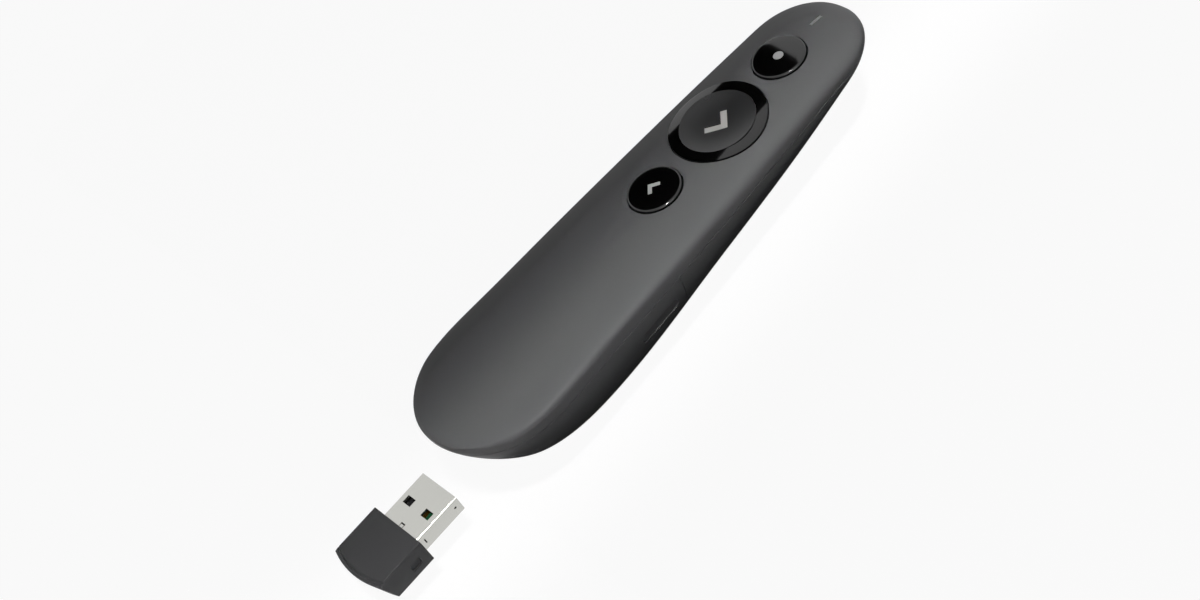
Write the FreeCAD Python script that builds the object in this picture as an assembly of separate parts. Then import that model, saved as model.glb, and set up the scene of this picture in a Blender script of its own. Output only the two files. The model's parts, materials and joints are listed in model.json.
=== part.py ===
import FreeCAD, Part

import math
import os

# Wireless presentation clicker with its plug-in receiver drawn out in line with its dock.
# Millimetres. +Z up through the button face, +Y towards the laser end, X across.
# The origin is on the small flat of the belly, on the middle plane.

V = FreeCAD.Vector

# Outer body, measured at the widest line, the crown line and the belly line
NEAR_END, FAR_END = -38.15, 95.55
NEAR_CAP, FAR_CAP = 19.1, 17.0
NEAR_HALF, MIDDLE_HALF, FAR_HALF = 18.4, 16.9, 14.3
NEAR_CAP_POWER, FAR_CAP_POWER = 1.96, 2.13
TOP_POWER, BELLY_POWER, END_POWER = 2.66, 2.12, 2.6
CROWN = 26.0
CROWN_NEAR_START, CROWN_NEAR_RUN, CROWN_DROP_NEAR = 31.0, 60.0, 1.10
CROWN_FAR_START, CROWN_FAR_RUN, CROWN_DROP_FAR = 51.0, 40.0, 0.84
WIDEST_NEAR, WIDEST_FAR = 23.65, 20.62
BELLY = (16.85, -0.41, 3.08, 8.24, 19.32)
WALL = 1.6

# Two lands cut flat under the belly: a level one, and a sloping one that it lies on, nose down
SLOPE_LAND, SLOPE_LAND_Z = 0.155, -1.20

# How finely the body is drawn, and a length that reaches past everything
SECTION_POINTS, MIDDLE_SPANS, CAP_DEGREES = 28, 6, (5, 14, 25, 38, 54, 72)
AWAY = 200.0

# Seams
PARTING = 20.3
PARTING_RISE = 0.9
PARTING_BEND = -4.0
SEAM = 0.15
DOOR_EDGE = 20.9
DOOR_SEAM = 0.25

# Buttons, all on the middle plane
BACK_Y, NEXT_Y, LASER_Y = 33.6, 54.5, 75.2
SMALL_HOLE, SMALL_CAP = 6.62, 6.30
NEXT_HOLE, NEXT_RING, NEXT_DISH = 11.69, 11.45, 8.93
CAP_PROUD, CAP_ROUND, CAP_WALL, CAP_ROOF, STEM_RADIUS = 0.35, 0.45, 1.0, 1.6, 1.5
FLANGE_TOP, FLANGE_BOTTOM = 22.9, 22.2
FLANGE_EXTRA, LAP = 0.8, 0.2
RECESS_RADIUS, RECESS_DEPTH, RECESS_REACH = 7.6, 0.35, 1.0
RING_PROUD, DISH_FLOOR, DISH_PROUD, DISH_DEPTH, DISH_GAP = 0.25, 23.4, 0.1, 0.8, 0.05
MARK_DEPTH, MARK_BOTTOM, MARK_TOP = 0.3, 23.5, 28.0
BACK_ARROW = (-1.9, -2.0, 0.95)
NEXT_ARROW = (2.9, 3.7, 1.5)
DOT_RADIUS = 1.2

# Circuit board and switches
BOARD_BOTTOM, BOARD_TOP = 19.6, 20.6
BOARD_NEAR, BOARD_FAR, BOARD_HALF, BOARD_CORNER = 26.4, 79.0, 10.6, 2.0
BOARD_ARM = (3.0, 7.2, 76.0, 86.0)
SWITCH_SIDE, SWITCH_HEIGHT, SWITCH_FLOOR = 5.2, 1.0, 0.1
PLUNGER_RADIUS, PLUNGER_GAP, PLUNGER_LIFT = 1.1, 0.1, 0.65
BOSS_X, BOSS_YS, BOSS_TOP, PILOT_TOP = 8.5, (41.0, 66.5), 25.0, 23.2
BOSS_RADIUS, SCREW_RADIUS, PILOT_RADIUS = 1.9, 0.75, 0.8
SCREW_CLEARANCE, HEAD_RADIUS, HEAD_DEPTH, SCREW_TOP = 0.15, 1.5, 1.0, 22.9

# Chips on the board: x range, y range, height
RADIO_CHIP = (-9.6, -4.6, 57.5, 60.5, 0.85)
CLOCK_CRYSTAL = (4.2, 7.4, 57.5, 59.9, 0.7)
BOOST_INDUCTOR = (-10.2, -7.2, 28.6, 31.6, 1.2)
CHIP_ANTENNA = (-9.6, -3.2, 77.0, 78.6, 1.2)
CAPACITOR_COUNT, CAPACITOR_PITCH = 6, 2.2
CAPACITOR = (7.4, 8.4, 52.0, 53.2, 0.6)
LAMP = (3.8, 5.4, 84.1, 84.9, 0.7)

# AAA cell, its contacts and its cradle
CELL_RADIUS, CELL_LENGTH = 5.25, 44.5
CELL_NEAR, CELL_Z = 0.0, 12.95
NIPPLE_RADIUS, NIPPLE_LENGTH, JACKET, JACKET_SHORT = 1.9, 0.9, 0.1, 0.4
PLATE_HALF, PLATE_THICK, PLATE_BOTTOM, PLATE_TOP = 3.0, 0.7, 11.8, 17.0
SPRING_TURNS, SPRING_PITCH, SPRING_WIRE = 3, 0.9, 0.25
SPRING_SMALL, SPRING_LARGE = 1.9, 3.3
CRADLE_HALF, CRADLE_NEAR, CRADLE_FAR, CRADLE_TOP = 6.7, -1.7, 49.0, 19.0
END_HALF, FAR_WALL_NEAR, FAR_WALL_DROP = 4.5, 47.9, 3.4
NEAR_WALL_FAR, NEAR_WALL_BOTTOM, CRADLE_PLAY = -0.75, 11.6, 0.2
SEAT_YS, SEAT_WIDTH, SEAT_LAP = (27.5, 45.5), 2.5, 0.5

# Laser module
LASER_Z, BARREL_RADIUS, BARREL_BORE, BEAM_RADIUS = 19.9, 1.75, 1.45, 0.8
BARREL_NEAR, BARREL_FAR, BARREL_SHOULDER = 82.5, 87.3, 1.5
LENS_RADIUS, LENS_BACK, LENS_FRONT = 1.40, 1.4, 0.3
DIODE_RADIUS, DIODE_FLANGE, DIODE_LENGTH, DIODE_STEP = 1.3, 1.65, 2.6, 0.5
BEAM_HOLE, BEAM_HOLE_DEPTH, WINDOW_RADIUS, WINDOW_BACK, WINDOW_FRONT = 1.25, 6.0, 1.2, 3.4, 0.9

# Indicator lamp and its light pipe
SLIT_NEAR, SLIT_FAR, SLIT_HALF = 85.9, 89.4, 0.40
PIPE_GAP, PIPE_BOTTOM, PIPE_ELBOW = 0.05, 21.9, 22.7
PIPE_FOOT = (5.4, 83.9, 86.6)

# Hooks, lips and screwed tabs that hold the housings and the door together
HOOK_Y, HOOK_LIMB_X, HOOK_FOOT_X = (-6, 14), (12.4, 13.2), (12.4, 14.7)
HOOK_BOTTOM, HOOK_SOLE, HOOK_TOP = 16.2, 17.1, 24.5
LIP_X, LIP_Z = (13.7, 17.0), (17.5, 18.5)
COVER_X, COVER_Y, COVER_RADIUS, COVER_BOTTOM, COVER_TOP = 10.2, 17.2, 2.1, 17.6, 25.0
COVER_PILOT_TOP, COVER_HEAD, COVER_HEAD_Z, COVER_SCREW_TOP = 22.5, 1.7, (15.0, 16.1), 22.2
TAB = (7.6, 12.6, 14.6, 23.5, 16.1, 17.5)
TAB_WEB_X, TAB_WEB_FAR, TAB_WEB_BOTTOM, TAB_HOLE = (7.6, 8.8), 25.0, 4.0, 0.95
TAB_STRAP_X, TAB_STRAP_FAR, TAB_STRAP_BOTTOM, TAB_TOP = (7.6, 16.5), 23.5, 15.2, 17.5
TONGUE_HALF, TONGUE_NEAR, TONGUE_FAR, STEP_BOTTOM, TONGUE_Z = 3, 17.0, 23.3, 1.2, (4.2, 5.1)

# Finger recess in each side of the door
GRIP_NEAR, GRIP_FAR, GRIP_Z, GRIP_RADIUS, GRIP_FLOOR, GRIP_DEPTH = 6.6, 18.3, 14.4, 1.5, 15.75, 4.0

# Receiver: plug tip, plug size, body size
PLUG_WIDTH, PLUG_HEIGHT, PLUG_LENGTH = 12.0, 4.5, 12.0
PLUG_TIP, PLUG_Z = -42.9, 10.55
PLUG_SKIN, PLUG_ROUND, PLUG_ROOT, SEAT_GAP = 0.3, 0.5, 2.8, 0.05
WINDOW_X, WINDOW_Y, WINDOW_HALF_X, WINDOW_HALF_Y = 3.17, 6.45, 1.25, 0.95
BODY_HALF, BODY_LOW, BODY_HIGH = 8.4, 7.75, 14.1
SIDE_LENGTH, TAIL_BULGE, TAIL_LEAN = 12.4, 1.45, 1.8
RIDGE_INSIDE, RIDGE_DROP, RIDGE_BACK, DECK_INSET = 1.5, 0.55, 0.15, 0.35
BODY_WALL, TAIL_WALL, SEAT_DEPTH = 1.1, 2.3, 3.0
SNAP_BACK, SNAP_FRONT, SNAP_BOTTOM, SNAP_TOP = 5.0, 2.2, 9.4, 11.4
SNAP_PLAY, SNAP_IN, CARRIER_BACK, CARRIER_SKIN = 0.2, 0.5, 10.0, 0.8
BODY_FRONT = PLUG_TIP - PLUG_LENGTH
BOARD_ROOM_HALF, BOARD_ROOM_BACK, BOARD_DROP = 6.6, 9.2, 0.2
TONGUE_GAP, TONGUE_THICK, TONGUE_BACK, TONGUE_SHORT = 0.15, 1.9, 2.5, 0.4
STRIP_XS, STRIP_HALF, STRIP_BACK, STRIP_SHORT, STRIP_THICK = (-3.5, -1.0, 1.0, 3.5), 0.5, 2.0, 1.4, 0.12
STICK_BOARD_HALF, STICK_BOARD_BACK, STICK_BOARD_TOP = 6.3, 9.0, 0.6
STICK_CHIP = (-2.2, 1.8, 8.4, 4.4, 0.85)
STICK_CRYSTAL = (3.0, 5.0, 7.6, 5.0, 0.6)

# Dock in the battery door
DOCK_PLAY, DOCK_WALL = 0.30, 1.0
DOCK_STEP, DOCK_END = -14.4, -3.1
LEG_X, LEG_NEAR = (-5.5, -4.3), -24.0
CLIP_NEAR, CLIP_FAR, CLIP_HALF, CLIP_PLAY, CLIP_THICK = -12.5, -3.5, 1.6, 0.2, 0.3
CLIP_LAP_NEAR, CLIP_LAP_FAR, CLIP_SLACK = 0.8, 1.0, 0.1
PAD_HALF, PAD_NEAR, PAD_FAR, PAD_LIFT = 1.0, -9.5, -6.5, 0.05


def box(x0, x1, y0, y1, z0, z1):
    return Part.makeBox(x1 - x0, y1 - y0, z1 - z0, V(x0, y0, z0))


def post(x, y, z0, z1, radius):
    return Part.makeCylinder(radius, z1 - z0, V(x, y, z0), V(0, 0, 1))


def rod(x, z, y0, y1, radius):
    return Part.makeCylinder(radius, y1 - y0, V(x, y0, z), V(0, 1, 0))


def fused(first, *others):
    return first.fuse(list(others)).removeSplitter() if others else first


def mirrored(shape):
    return shape.mirror(V(0, 0, 0), V(1, 0, 0))


def save(node, shape):
    solids = shape.Solids
    keep = solids[0] if len(solids) == 1 else Part.makeCompound(solids)
    assert solids and all(s.isValid() and s.isClosed() for s in solids), node
    keep.exportStep("parts/" + node + ".step")
    print(node, len(solids), "solids", round(keep.Volume, 2), "mm3")


def half_width(y):
    """Half width at the widest line, before the end caps round it in."""
    near, far = NEAR_END + NEAR_CAP, FAR_END - FAR_CAP
    t = (min(max(y, near), far) - (near + far) / 2) / ((far - near) / 2)
    slope, bend = (FAR_HALF - NEAR_HALF) / 2, (FAR_HALF + NEAR_HALF) / 2 - MIDDLE_HALF
    return MIDDLE_HALF + slope * t + bend * t * t


def cap_shares(y):
    """How far a station is into the near cap and the far cap, from 0 to 1."""
    near = min(max((NEAR_END + NEAR_CAP - y) / NEAR_CAP, 0), 1)
    far = min(max((y - FAR_END + FAR_CAP) / FAR_CAP, 0), 1)
    return near, far


def rounded(share, power):
    return (1 - share ** power) ** (1 / power)


def crown_line(y):
    near = max((CROWN_NEAR_START - y) / CROWN_NEAR_RUN, 0)
    far = max((y - CROWN_FAR_START) / CROWN_FAR_RUN, 0)
    return CROWN - CROWN_DROP_NEAR * near ** 2 - CROWN_DROP_FAR * far ** 2


def widest_line(y):
    return WIDEST_NEAR + (WIDEST_FAR - WIDEST_NEAR) * (y - NEAR_END) / (FAR_END - NEAR_END)


def belly_curve():
    span = FAR_END - NEAR_END
    gaps = len(BELLY) - 1
    points = [V(0, NEAR_END + span * i / gaps, z) for i, z in enumerate(BELLY)]
    curve = Part.BSplineCurve()
    curve.interpolate(Points=points)
    return curve


BELLY_CURVE = belly_curve()


def belly_line(y):
    plane = Part.Plane(V(0, y, 0), V(0, 1, 0))
    hit = BELLY_CURVE.intersect(plane)[0][0]
    return hit.Z


def section_sizes(y, inset):
    near, far = cap_shares(y)
    caps = rounded(near, NEAR_CAP_POWER) * rounded(far, FAR_CAP_POWER)
    ends = rounded(near, END_POWER) * rounded(far, END_POWER)
    middle = widest_line(y)
    width = (half_width(y) - inset) * caps
    rise = (crown_line(y) - middle - inset) * ends
    fall = (middle - belly_line(y) - inset) * ends
    return width, middle, rise, fall


def section(y, inset, source_y):
    """A closed curve across the body: one superellipse over the top, another under the belly."""
    width, middle, rise, fall = section_sizes(source_y, inset)
    points = []
    for i in range(SECTION_POINTS):
        angle = 2 * math.pi * i / SECTION_POINTS - math.pi / 2
        c, s = math.cos(angle), math.sin(angle)
        power, height = (TOP_POWER, rise) if s > 0 else (BELLY_POWER, fall)
        x = math.copysign(abs(c) ** (2 / power), c) * width
        z = math.copysign(abs(s) ** (2 / power), s) * height
        points.append(V(x, y, middle + z))
    curve = Part.BSplineCurve()
    curve.interpolate(Points=points, PeriodicFlag=True)
    return Part.Wire([curve.toShape()])


def stations(near, far, near_cap, far_cap):
    """Closely spaced where the caps round in, evenly spaced along the middle."""
    near_ys = [near + near_cap * (1 - math.cos(math.radians(a))) for a in CAP_DEGREES]
    far_ys = [far - far_cap * (1 - math.cos(math.radians(a))) for a in reversed(CAP_DEGREES)]
    start, end = near + near_cap, far - far_cap
    middle = [start + (end - start) * i / MIDDLE_SPANS for i in range(MIDDLE_SPANS + 1)]
    return near_ys + middle + far_ys


def body(inset=0.0):
    """The whole egg-shaped body, drawn in on every side by inset."""
    near, far = NEAR_END + inset, FAR_END - inset
    ys = stations(near, far, NEAR_CAP - inset, FAR_CAP - inset)
    length = FAR_END - NEAR_END
    wires = []
    for y in ys:
        source = NEAR_END + length * (y - near) / (far - near)
        wires.append(section(y, inset, source))
    return Part.makeLoft(wires, True, False)


def below_parting(shift):
    """Everything below the parting line; shift lowers the cut for a seam."""
    z, bend = PARTING - shift, PARTING_BEND
    run = bend - NEAR_END
    radius = (run ** 2 + PARTING_RISE ** 2) / (2 * PARTING_RISE)
    angle = math.asin(run / radius)
    end = V(0, bend - radius * math.sin(angle), z + radius * (1 - math.cos(angle)))
    middle = V(0, bend - radius * math.sin(angle / 2), z + radius * (1 - math.cos(angle / 2)))
    arc = Part.Arc(V(0, bend, z), middle, end).toShape()
    corners = [
        end, V(0, -AWAY, end.z), V(0, -AWAY, -AWAY), V(0, AWAY, -AWAY), V(0, AWAY, z), V(0, bend, z)
    ]
    lines = [Part.makeLine(a, b) for a, b in zip(corners, corners[1:])]
    face = Part.Face(Part.Wire([arc] + lines))
    return face.extrude(V(2 * AWAY, 0, 0)).translated(V(-AWAY, 0, 0))


def below_lands():
    """Everything under the level land and under the sloping one."""
    low, high = SLOPE_LAND_Z - SLOPE_LAND * AWAY, SLOPE_LAND_Z + SLOPE_LAND * AWAY
    corners = [(-AWAY, low), (AWAY, high), (AWAY, -AWAY), (-AWAY, -AWAY), (-AWAY, low)]
    face = Part.Face(Part.makePolygon([V(-AWAY, y, z) for y, z in corners]))
    wedge = face.extrude(V(2 * AWAY, 0, 0))
    return [wedge, box(-AWAY, AWAY, -AWAY, AWAY, -AWAY, 0)]


def arrow(y, tip_x, reach, thickness, z0, z1):
    """A chevron prism that points along X: reach is the leg's length along X and Y."""
    turn = math.copysign(1, reach)
    back = thickness * math.sqrt(2) * turn
    outline = [
        V(tip_x, y, z0),
        V(tip_x - reach, y + abs(reach), z0),
        V(tip_x - reach - back / 2, y + abs(reach) - abs(back) / 2, z0),
        V(tip_x - back, y, z0),
        V(tip_x - reach - back / 2, y - abs(reach) + abs(back) / 2, z0),
        V(tip_x - reach, y - abs(reach), z0),
    ]
    face = Part.Face(Part.makePolygon(outline + outline[:1]))
    return face.extrude(V(0, 0, z1 - z0))


def split_mark(cap, prism, surface_z):
    """Cuts a flush inlay out of a cap: the mark takes the cap's own surface."""
    skin = prism.common(cap)
    slab = box(-AWAY, AWAY, -AWAY, AWAY, surface_z - MARK_DEPTH, AWAY)
    mark = skin.common(slab)
    return cap.cut(mark), mark


def small_cap(y, top):
    """A cup-shaped cap with a retaining flange and a stem that meets the switch."""
    shell = post(0, y, FLANGE_TOP - LAP, top, SMALL_CAP)
    rim = max((e for e in shell.Edges if len(e.Vertexes) == 1), key=lambda e: e.CenterOfMass.z)
    shell = shell.makeFillet(CAP_ROUND, [rim])
    flange = post(0, y, FLANGE_BOTTOM, FLANGE_TOP, SMALL_CAP + FLANGE_EXTRA)
    hollow = post(0, y, -AWAY, top - CAP_ROOF, SMALL_CAP - CAP_WALL)
    stem = post(0, y, FLANGE_BOTTOM, top - CAP_ROOF / 2, STEM_RADIUS)
    return fused(shell.fuse(flange).cut(hollow), stem)


def make_buttons():
    back_top = crown_line(BACK_Y) + CAP_PROUD
    back = small_cap(BACK_Y, back_top)
    back, mark = split_mark(back, arrow(BACK_Y, *BACK_ARROW, MARK_BOTTOM, MARK_TOP), back_top)
    save("back_button_cap", back)
    save("back_button_mark", mark)

    laser_top = crown_line(LASER_Y) + CAP_PROUD
    laser = small_cap(LASER_Y, laser_top)
    laser, mark = split_mark(laser, post(0, LASER_Y, MARK_BOTTOM, MARK_TOP, DOT_RADIUS), laser_top)
    save("laser_button_cap", laser)
    save("laser_button_mark", mark)


def make_next_button(outer):
    raised = outer.translated(V(0, 0, RING_PROUD))
    wall = post(0, NEXT_Y, FLANGE_TOP - LAP, AWAY, NEXT_RING).common(raised)
    wall = wall.cut(post(0, NEXT_Y, DISH_FLOOR, AWAY, NEXT_DISH))
    flange = post(0, NEXT_Y, FLANGE_BOTTOM, FLANGE_TOP, NEXT_RING + FLANGE_EXTRA)
    save("next_button_ring", fused(wall, flange))

    top = CROWN + DISH_PROUD
    radius = (NEXT_DISH ** 2 + DISH_DEPTH ** 2) / (2 * DISH_DEPTH)
    dish = post(0, NEXT_Y, DISH_FLOOR, top, NEXT_DISH - DISH_GAP)
    dish = dish.cut(Part.makeSphere(radius, V(0, NEXT_Y, top - DISH_DEPTH + radius)))
    centre = top - DISH_DEPTH
    dish, mark = split_mark(dish, arrow(NEXT_Y, *NEXT_ARROW, MARK_BOTTOM, MARK_TOP), centre)
    save("next_button_dish", dish)
    save("next_button_mark", mark)


def make_switches():
    half = SWITCH_SIDE / 2
    top = BOARD_TOP + SWITCH_HEIGHT
    for name, y in (("back", BACK_Y), ("next", NEXT_Y), ("laser", LASER_Y)):
        case = box(-half, half, y - half, y + half, BOARD_TOP, top)
        case = case.cut(post(0, y, BOARD_TOP + SWITCH_FLOOR, AWAY, PLUNGER_RADIUS + PLUNGER_GAP))
        save(name + "_switch_body", case)
        plunger = post(0, y, BOARD_TOP + PLUNGER_LIFT, FLANGE_BOTTOM, PLUNGER_RADIUS)
        save(name + "_switch_plunger", plunger)


def beam_hole():
    return rod(0, LASER_Z, FAR_END - BEAM_HOLE_DEPTH, AWAY, BEAM_HOLE)


def housing_holes():
    holes = [
        post(0, NEXT_Y, PARTING, AWAY, NEXT_HOLE),
        box(-SLIT_HALF, SLIT_HALF, SLIT_NEAR, SLIT_FAR, BOARD_TOP, AWAY),
        beam_hole(),
    ]
    slope = (RECESS_RADIUS - SMALL_HOLE) / RECESS_DEPTH
    wide = RECESS_RADIUS + slope * RECESS_REACH
    height = RECESS_DEPTH + RECESS_REACH
    for y in (BACK_Y, LASER_Y):
        foot = V(0, y, crown_line(y) - RECESS_DEPTH)
        holes.append(post(0, y, PARTING, AWAY, SMALL_HOLE))
        holes.append(Part.makeCone(SMALL_HOLE, wide, height, foot, V(0, 0, 1)))
    return holes


def make_upper_housing(outer, inner, below):
    shell = outer.cut(inner).cut(below)
    limb = box(*HOOK_LIMB_X, *HOOK_Y, HOOK_BOTTOM, HOOK_TOP)
    foot = box(*HOOK_FOOT_X, *HOOK_Y, HOOK_BOTTOM, HOOK_SOLE)
    ribs = [limb.fuse(foot), post(COVER_X, COVER_Y, COVER_BOTTOM, COVER_TOP, COVER_RADIUS)]
    ribs += [post(BOSS_X, y, BOARD_TOP, BOSS_TOP, BOSS_RADIUS) for y in BOSS_YS]
    ribs += [mirrored(rib) for rib in ribs]
    shell = shell.fuse([rib.common(outer) for rib in ribs])
    pilots = []
    for side in (-1, 1):
        pilots.append(post(side * COVER_X, COVER_Y, 0, COVER_PILOT_TOP, PILOT_RADIUS))
        for y in BOSS_YS:
            pilots.append(post(side * BOSS_X, y, 0, PILOT_TOP, PILOT_RADIUS))
    shell = shell.cut(housing_holes() + pilots)
    save("upper_housing", shell)


def make_lower_housing(outer, inner, below):
    front = box(-AWAY, AWAY, DOOR_EDGE + DOOR_SEAM / 2, AWAY, -AWAY, AWAY)
    shell = outer.cut(inner).common(below).common(front)
    edge = DOOR_EDGE + DOOR_SEAM
    web = box(*TAB_WEB_X, edge, TAB_WEB_FAR, TAB_WEB_BOTTOM, TAB_TOP)
    strap = box(*TAB_STRAP_X, edge, TAB_STRAP_FAR, TAB_STRAP_BOTTOM, TAB_TOP)
    tabs = [box(*TAB), web, strap]
    tabs += [mirrored(tab) for tab in tabs]
    shell = shell.fuse([tab.common(outer) for tab in tabs])
    holes = [post(side * COVER_X, COVER_Y, 0, AWAY, TAB_HOLE) for side in (-1, 1)]
    shell = shell.cut(holes + [beam_hole()] + below_lands())
    save("lower_housing", shell)


def dock_space():
    """The room that the receiver needs, from outside the nose to the plug's end stop."""
    play = DOCK_PLAY
    side = BODY_HALF + play
    wide = box(-side, side, -AWAY, DOCK_STEP, BODY_LOW - play, BODY_HIGH + play)
    half, tall = PLUG_WIDTH / 2 + play, PLUG_HEIGHT / 2 + play
    narrow = box(-half, half, -AWAY, DOCK_END, PLUG_Z - tall, PLUG_Z + tall)
    return wide.fuse(narrow)


def make_battery_door(outer, inner, below):
    edge = DOOR_EDGE - DOOR_SEAM / 2
    shell = outer.cut(inner)
    around = DOCK_PLAY + DOCK_WALL
    side = BODY_HALF + around
    sleeve = box(-side, side, -AWAY, DOCK_STEP + DOCK_WALL, BODY_LOW - around, BODY_HIGH + around)
    half, tall = PLUG_WIDTH / 2 + around, PLUG_HEIGHT / 2 + around
    channel = box(-half, half, -AWAY, DOCK_END + DOCK_WALL, PLUG_Z - tall, PLUG_Z + tall)
    leg = box(*LEG_X, LEG_NEAR, DOCK_END, 0, PLUG_Z)
    lip = box(*LIP_X, *HOOK_Y, *LIP_Z)
    step = box(-TONGUE_HALF, TONGUE_HALF, TONGUE_NEAR, edge, STEP_BOTTOM, TONGUE_Z[1])
    tongue = box(-TONGUE_HALF, TONGUE_HALF, TONGUE_NEAR, TONGUE_FAR, *TONGUE_Z)
    extras = [sleeve, channel, leg, mirrored(leg), lip, mirrored(lip), step]
    shell = shell.fuse([extra.common(outer) for extra in extras])
    rear = box(-AWAY, AWAY, -AWAY, edge, -AWAY, AWAY)
    shell = shell.common(below).common(rear).fuse(tongue)
    grip = grip_cut()
    cuts = [dock_space(), grip, mirrored(grip), clip_slot()] + below_lands()
    save("battery_door", shell.cut(cuts))


def grip_cut():
    """A long finger recess with round ends, sunk into the side of the battery door."""
    radius, z, floor = GRIP_RADIUS, GRIP_Z, GRIP_FLOOR
    near, far = GRIP_NEAR + radius, GRIP_FAR - radius
    ends = [Part.makeCylinder(radius, GRIP_DEPTH, V(floor, y, z), V(1, 0, 0)) for y in (near, far)]
    slot = box(floor, floor + GRIP_DEPTH, near, far, z - radius, z + radius)
    return slot.fuse(ends).removeSplitter()


def dock_roof():
    return PLUG_Z + PLUG_HEIGHT / 2 + DOCK_PLAY


def clip_slot():
    low, high = dock_roof() - CLIP_SLACK, dock_roof() + DOCK_WALL + CLIP_SLACK
    return box(-CLIP_HALF, CLIP_HALF, CLIP_NEAR, CLIP_FAR, low, high)


def make_receiver_clip():
    """A flat spring on the dock's roof, with a shallow pad over the plug."""
    half, top = CLIP_HALF - CLIP_PLAY, dock_roof() + DOCK_WALL
    leaf = box(-half, half, CLIP_NEAR - CLIP_LAP_NEAR, CLIP_FAR + CLIP_LAP_FAR, top, top + CLIP_THICK)
    pad = box(-PAD_HALF, PAD_HALF, PAD_NEAR, PAD_FAR, dock_roof() + PAD_LIFT, top)
    save("receiver_clip", fused(leaf, pad))


def make_chassis():
    half, near, far, top = CRADLE_HALF, CRADLE_NEAR, CRADLE_FAR, CRADLE_TOP
    saddle = box(-half, half, near, far, CELL_Z, top)
    far_wall = box(-END_HALF, END_HALF, FAR_WALL_NEAR, far, CELL_Z - FAR_WALL_DROP, top)
    near_wall = box(-END_HALF, END_HALF, near, NEAR_WALL_FAR, NEAR_WALL_BOTTOM, top)
    seats = [box(-half, half, y, y + SEAT_WIDTH, top - SEAT_LAP, BOARD_BOTTOM) for y in SEAT_YS]
    frame = fused(saddle, far_wall, near_wall, *seats)
    bore = rod(0, CELL_Z, -PLATE_THICK, FAR_WALL_NEAR - CRADLE_PLAY / 2, CELL_RADIUS + CRADLE_PLAY)
    save("battery_cradle", frame.cut(bore))


def make_cell():
    near, far = CELL_NEAR, CELL_NEAR + CELL_LENGTH
    shoulder, inside = near + NIPPLE_LENGTH, CELL_RADIUS - JACKET
    save("battery_positive_cap", rod(0, CELL_Z, near, shoulder, NIPPLE_RADIUS))
    save("battery_can", rod(0, CELL_Z, shoulder, far, inside))
    jacket = rod(0, CELL_Z, shoulder + JACKET_SHORT, far - JACKET_SHORT, CELL_RADIUS)
    save("battery_jacket", jacket.cut(rod(0, CELL_Z, near, far, inside)))
    plate = box(-PLATE_HALF, PLATE_HALF, near - PLATE_THICK, near, PLATE_BOTTOM, PLATE_TOP)
    save("positive_contact", plate)
    save("negative_contact", coil_contact(far))


def coil_point(start, turn):
    """A point on the coil's centre line, counted in turns from its small end."""
    angle = 2 * math.pi * turn
    radius = SPRING_SMALL + (SPRING_LARGE - SPRING_SMALL) * turn / SPRING_TURNS
    y = start + SPRING_WIRE + SPRING_PITCH * turn
    return V(radius * math.cos(angle), y, CELL_Z + radius * math.sin(angle))


def coil_contact(start):
    """A conical coil pressed between the cell and the end wall."""
    edges = []
    for quarter in range(SPRING_TURNS * 4):
        points = [coil_point(start, (quarter + step) / 4) for step in (0, 0.5, 1)]
        edges.append(Part.Arc(*points).toShape())
    tangent = edges[0].tangentAt(edges[0].FirstParameter)
    ring = Part.Wire([Part.makeCircle(SPRING_WIRE, coil_point(start, 0), tangent)])
    return Part.Wire(edges).makePipeShell([ring], True, False)


def make_board():
    board = box(-BOARD_HALF, BOARD_HALF, BOARD_NEAR, BOARD_FAR, BOARD_BOTTOM, BOARD_TOP)
    corners = [e for e in board.Edges if abs(e.tangentAt(0).z) > 0.9]
    board = board.makeFillet(BOARD_CORNER, corners)
    arm = box(*BOARD_ARM, BOARD_BOTTOM, BOARD_TOP)
    places = [(side * BOSS_X, y) for side in (-1, 1) for y in BOSS_YS]
    holes = [post(x, y, 0, AWAY, SCREW_RADIUS + SCREW_CLEARANCE) for x, y in places]
    save("main_circuit_board", fused(board, arm).cut(holes))
    heads = (BOARD_BOTTOM - HEAD_DEPTH, BOARD_BOTTOM)
    save("board_screws", screws(places, heads, HEAD_RADIUS, SCREW_TOP))
    covers = [(side * COVER_X, COVER_Y) for side in (-1, 1)]
    save("cover_screws", screws(covers, COVER_HEAD_Z, COVER_HEAD, COVER_SCREW_TOP))


def screws(places, head_zs, head_radius, top):
    made = []
    for x, y in places:
        head = post(x, y, *head_zs, head_radius)
        made.append(fused(head, post(x, y, sum(head_zs) / 2, top, SCREW_RADIUS)))
    return Part.makeCompound(made)


def chip_above(x0, x1, y0, y1, height):
    return box(x0, x1, y0, y1, BOARD_TOP, BOARD_TOP + height)


def chip_below(x0, x1, y0, y1, height):
    return box(x0, x1, y0, y1, BOARD_BOTTOM - height, BOARD_BOTTOM)


def make_chips():
    save("radio_chip", chip_above(*RADIO_CHIP))
    save("clock_crystal", chip_above(*CLOCK_CRYSTAL))
    save("boost_inductor", chip_below(*BOOST_INDUCTOR))
    save("chip_antenna", chip_below(*CHIP_ANTENNA))
    first = chip_below(*CAPACITOR)
    row = [first.translated(V(0, CAPACITOR_PITCH * i, 0)) for i in range(CAPACITOR_COUNT)]
    save("board_capacitors", Part.makeCompound(row))
    save("indicator_lamp", chip_above(*LAMP))


def make_light_pipe(outer):
    half = SLIT_HALF - PIPE_GAP
    foot = box(-half, *PIPE_FOOT, PIPE_BOTTOM, PIPE_ELBOW)
    riser = box(-half, half, SLIT_NEAR + PIPE_GAP, SLIT_FAR - PIPE_GAP, PIPE_BOTTOM, AWAY)
    save("indicator_light_pipe", fused(foot, riser.common(outer)))


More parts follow.
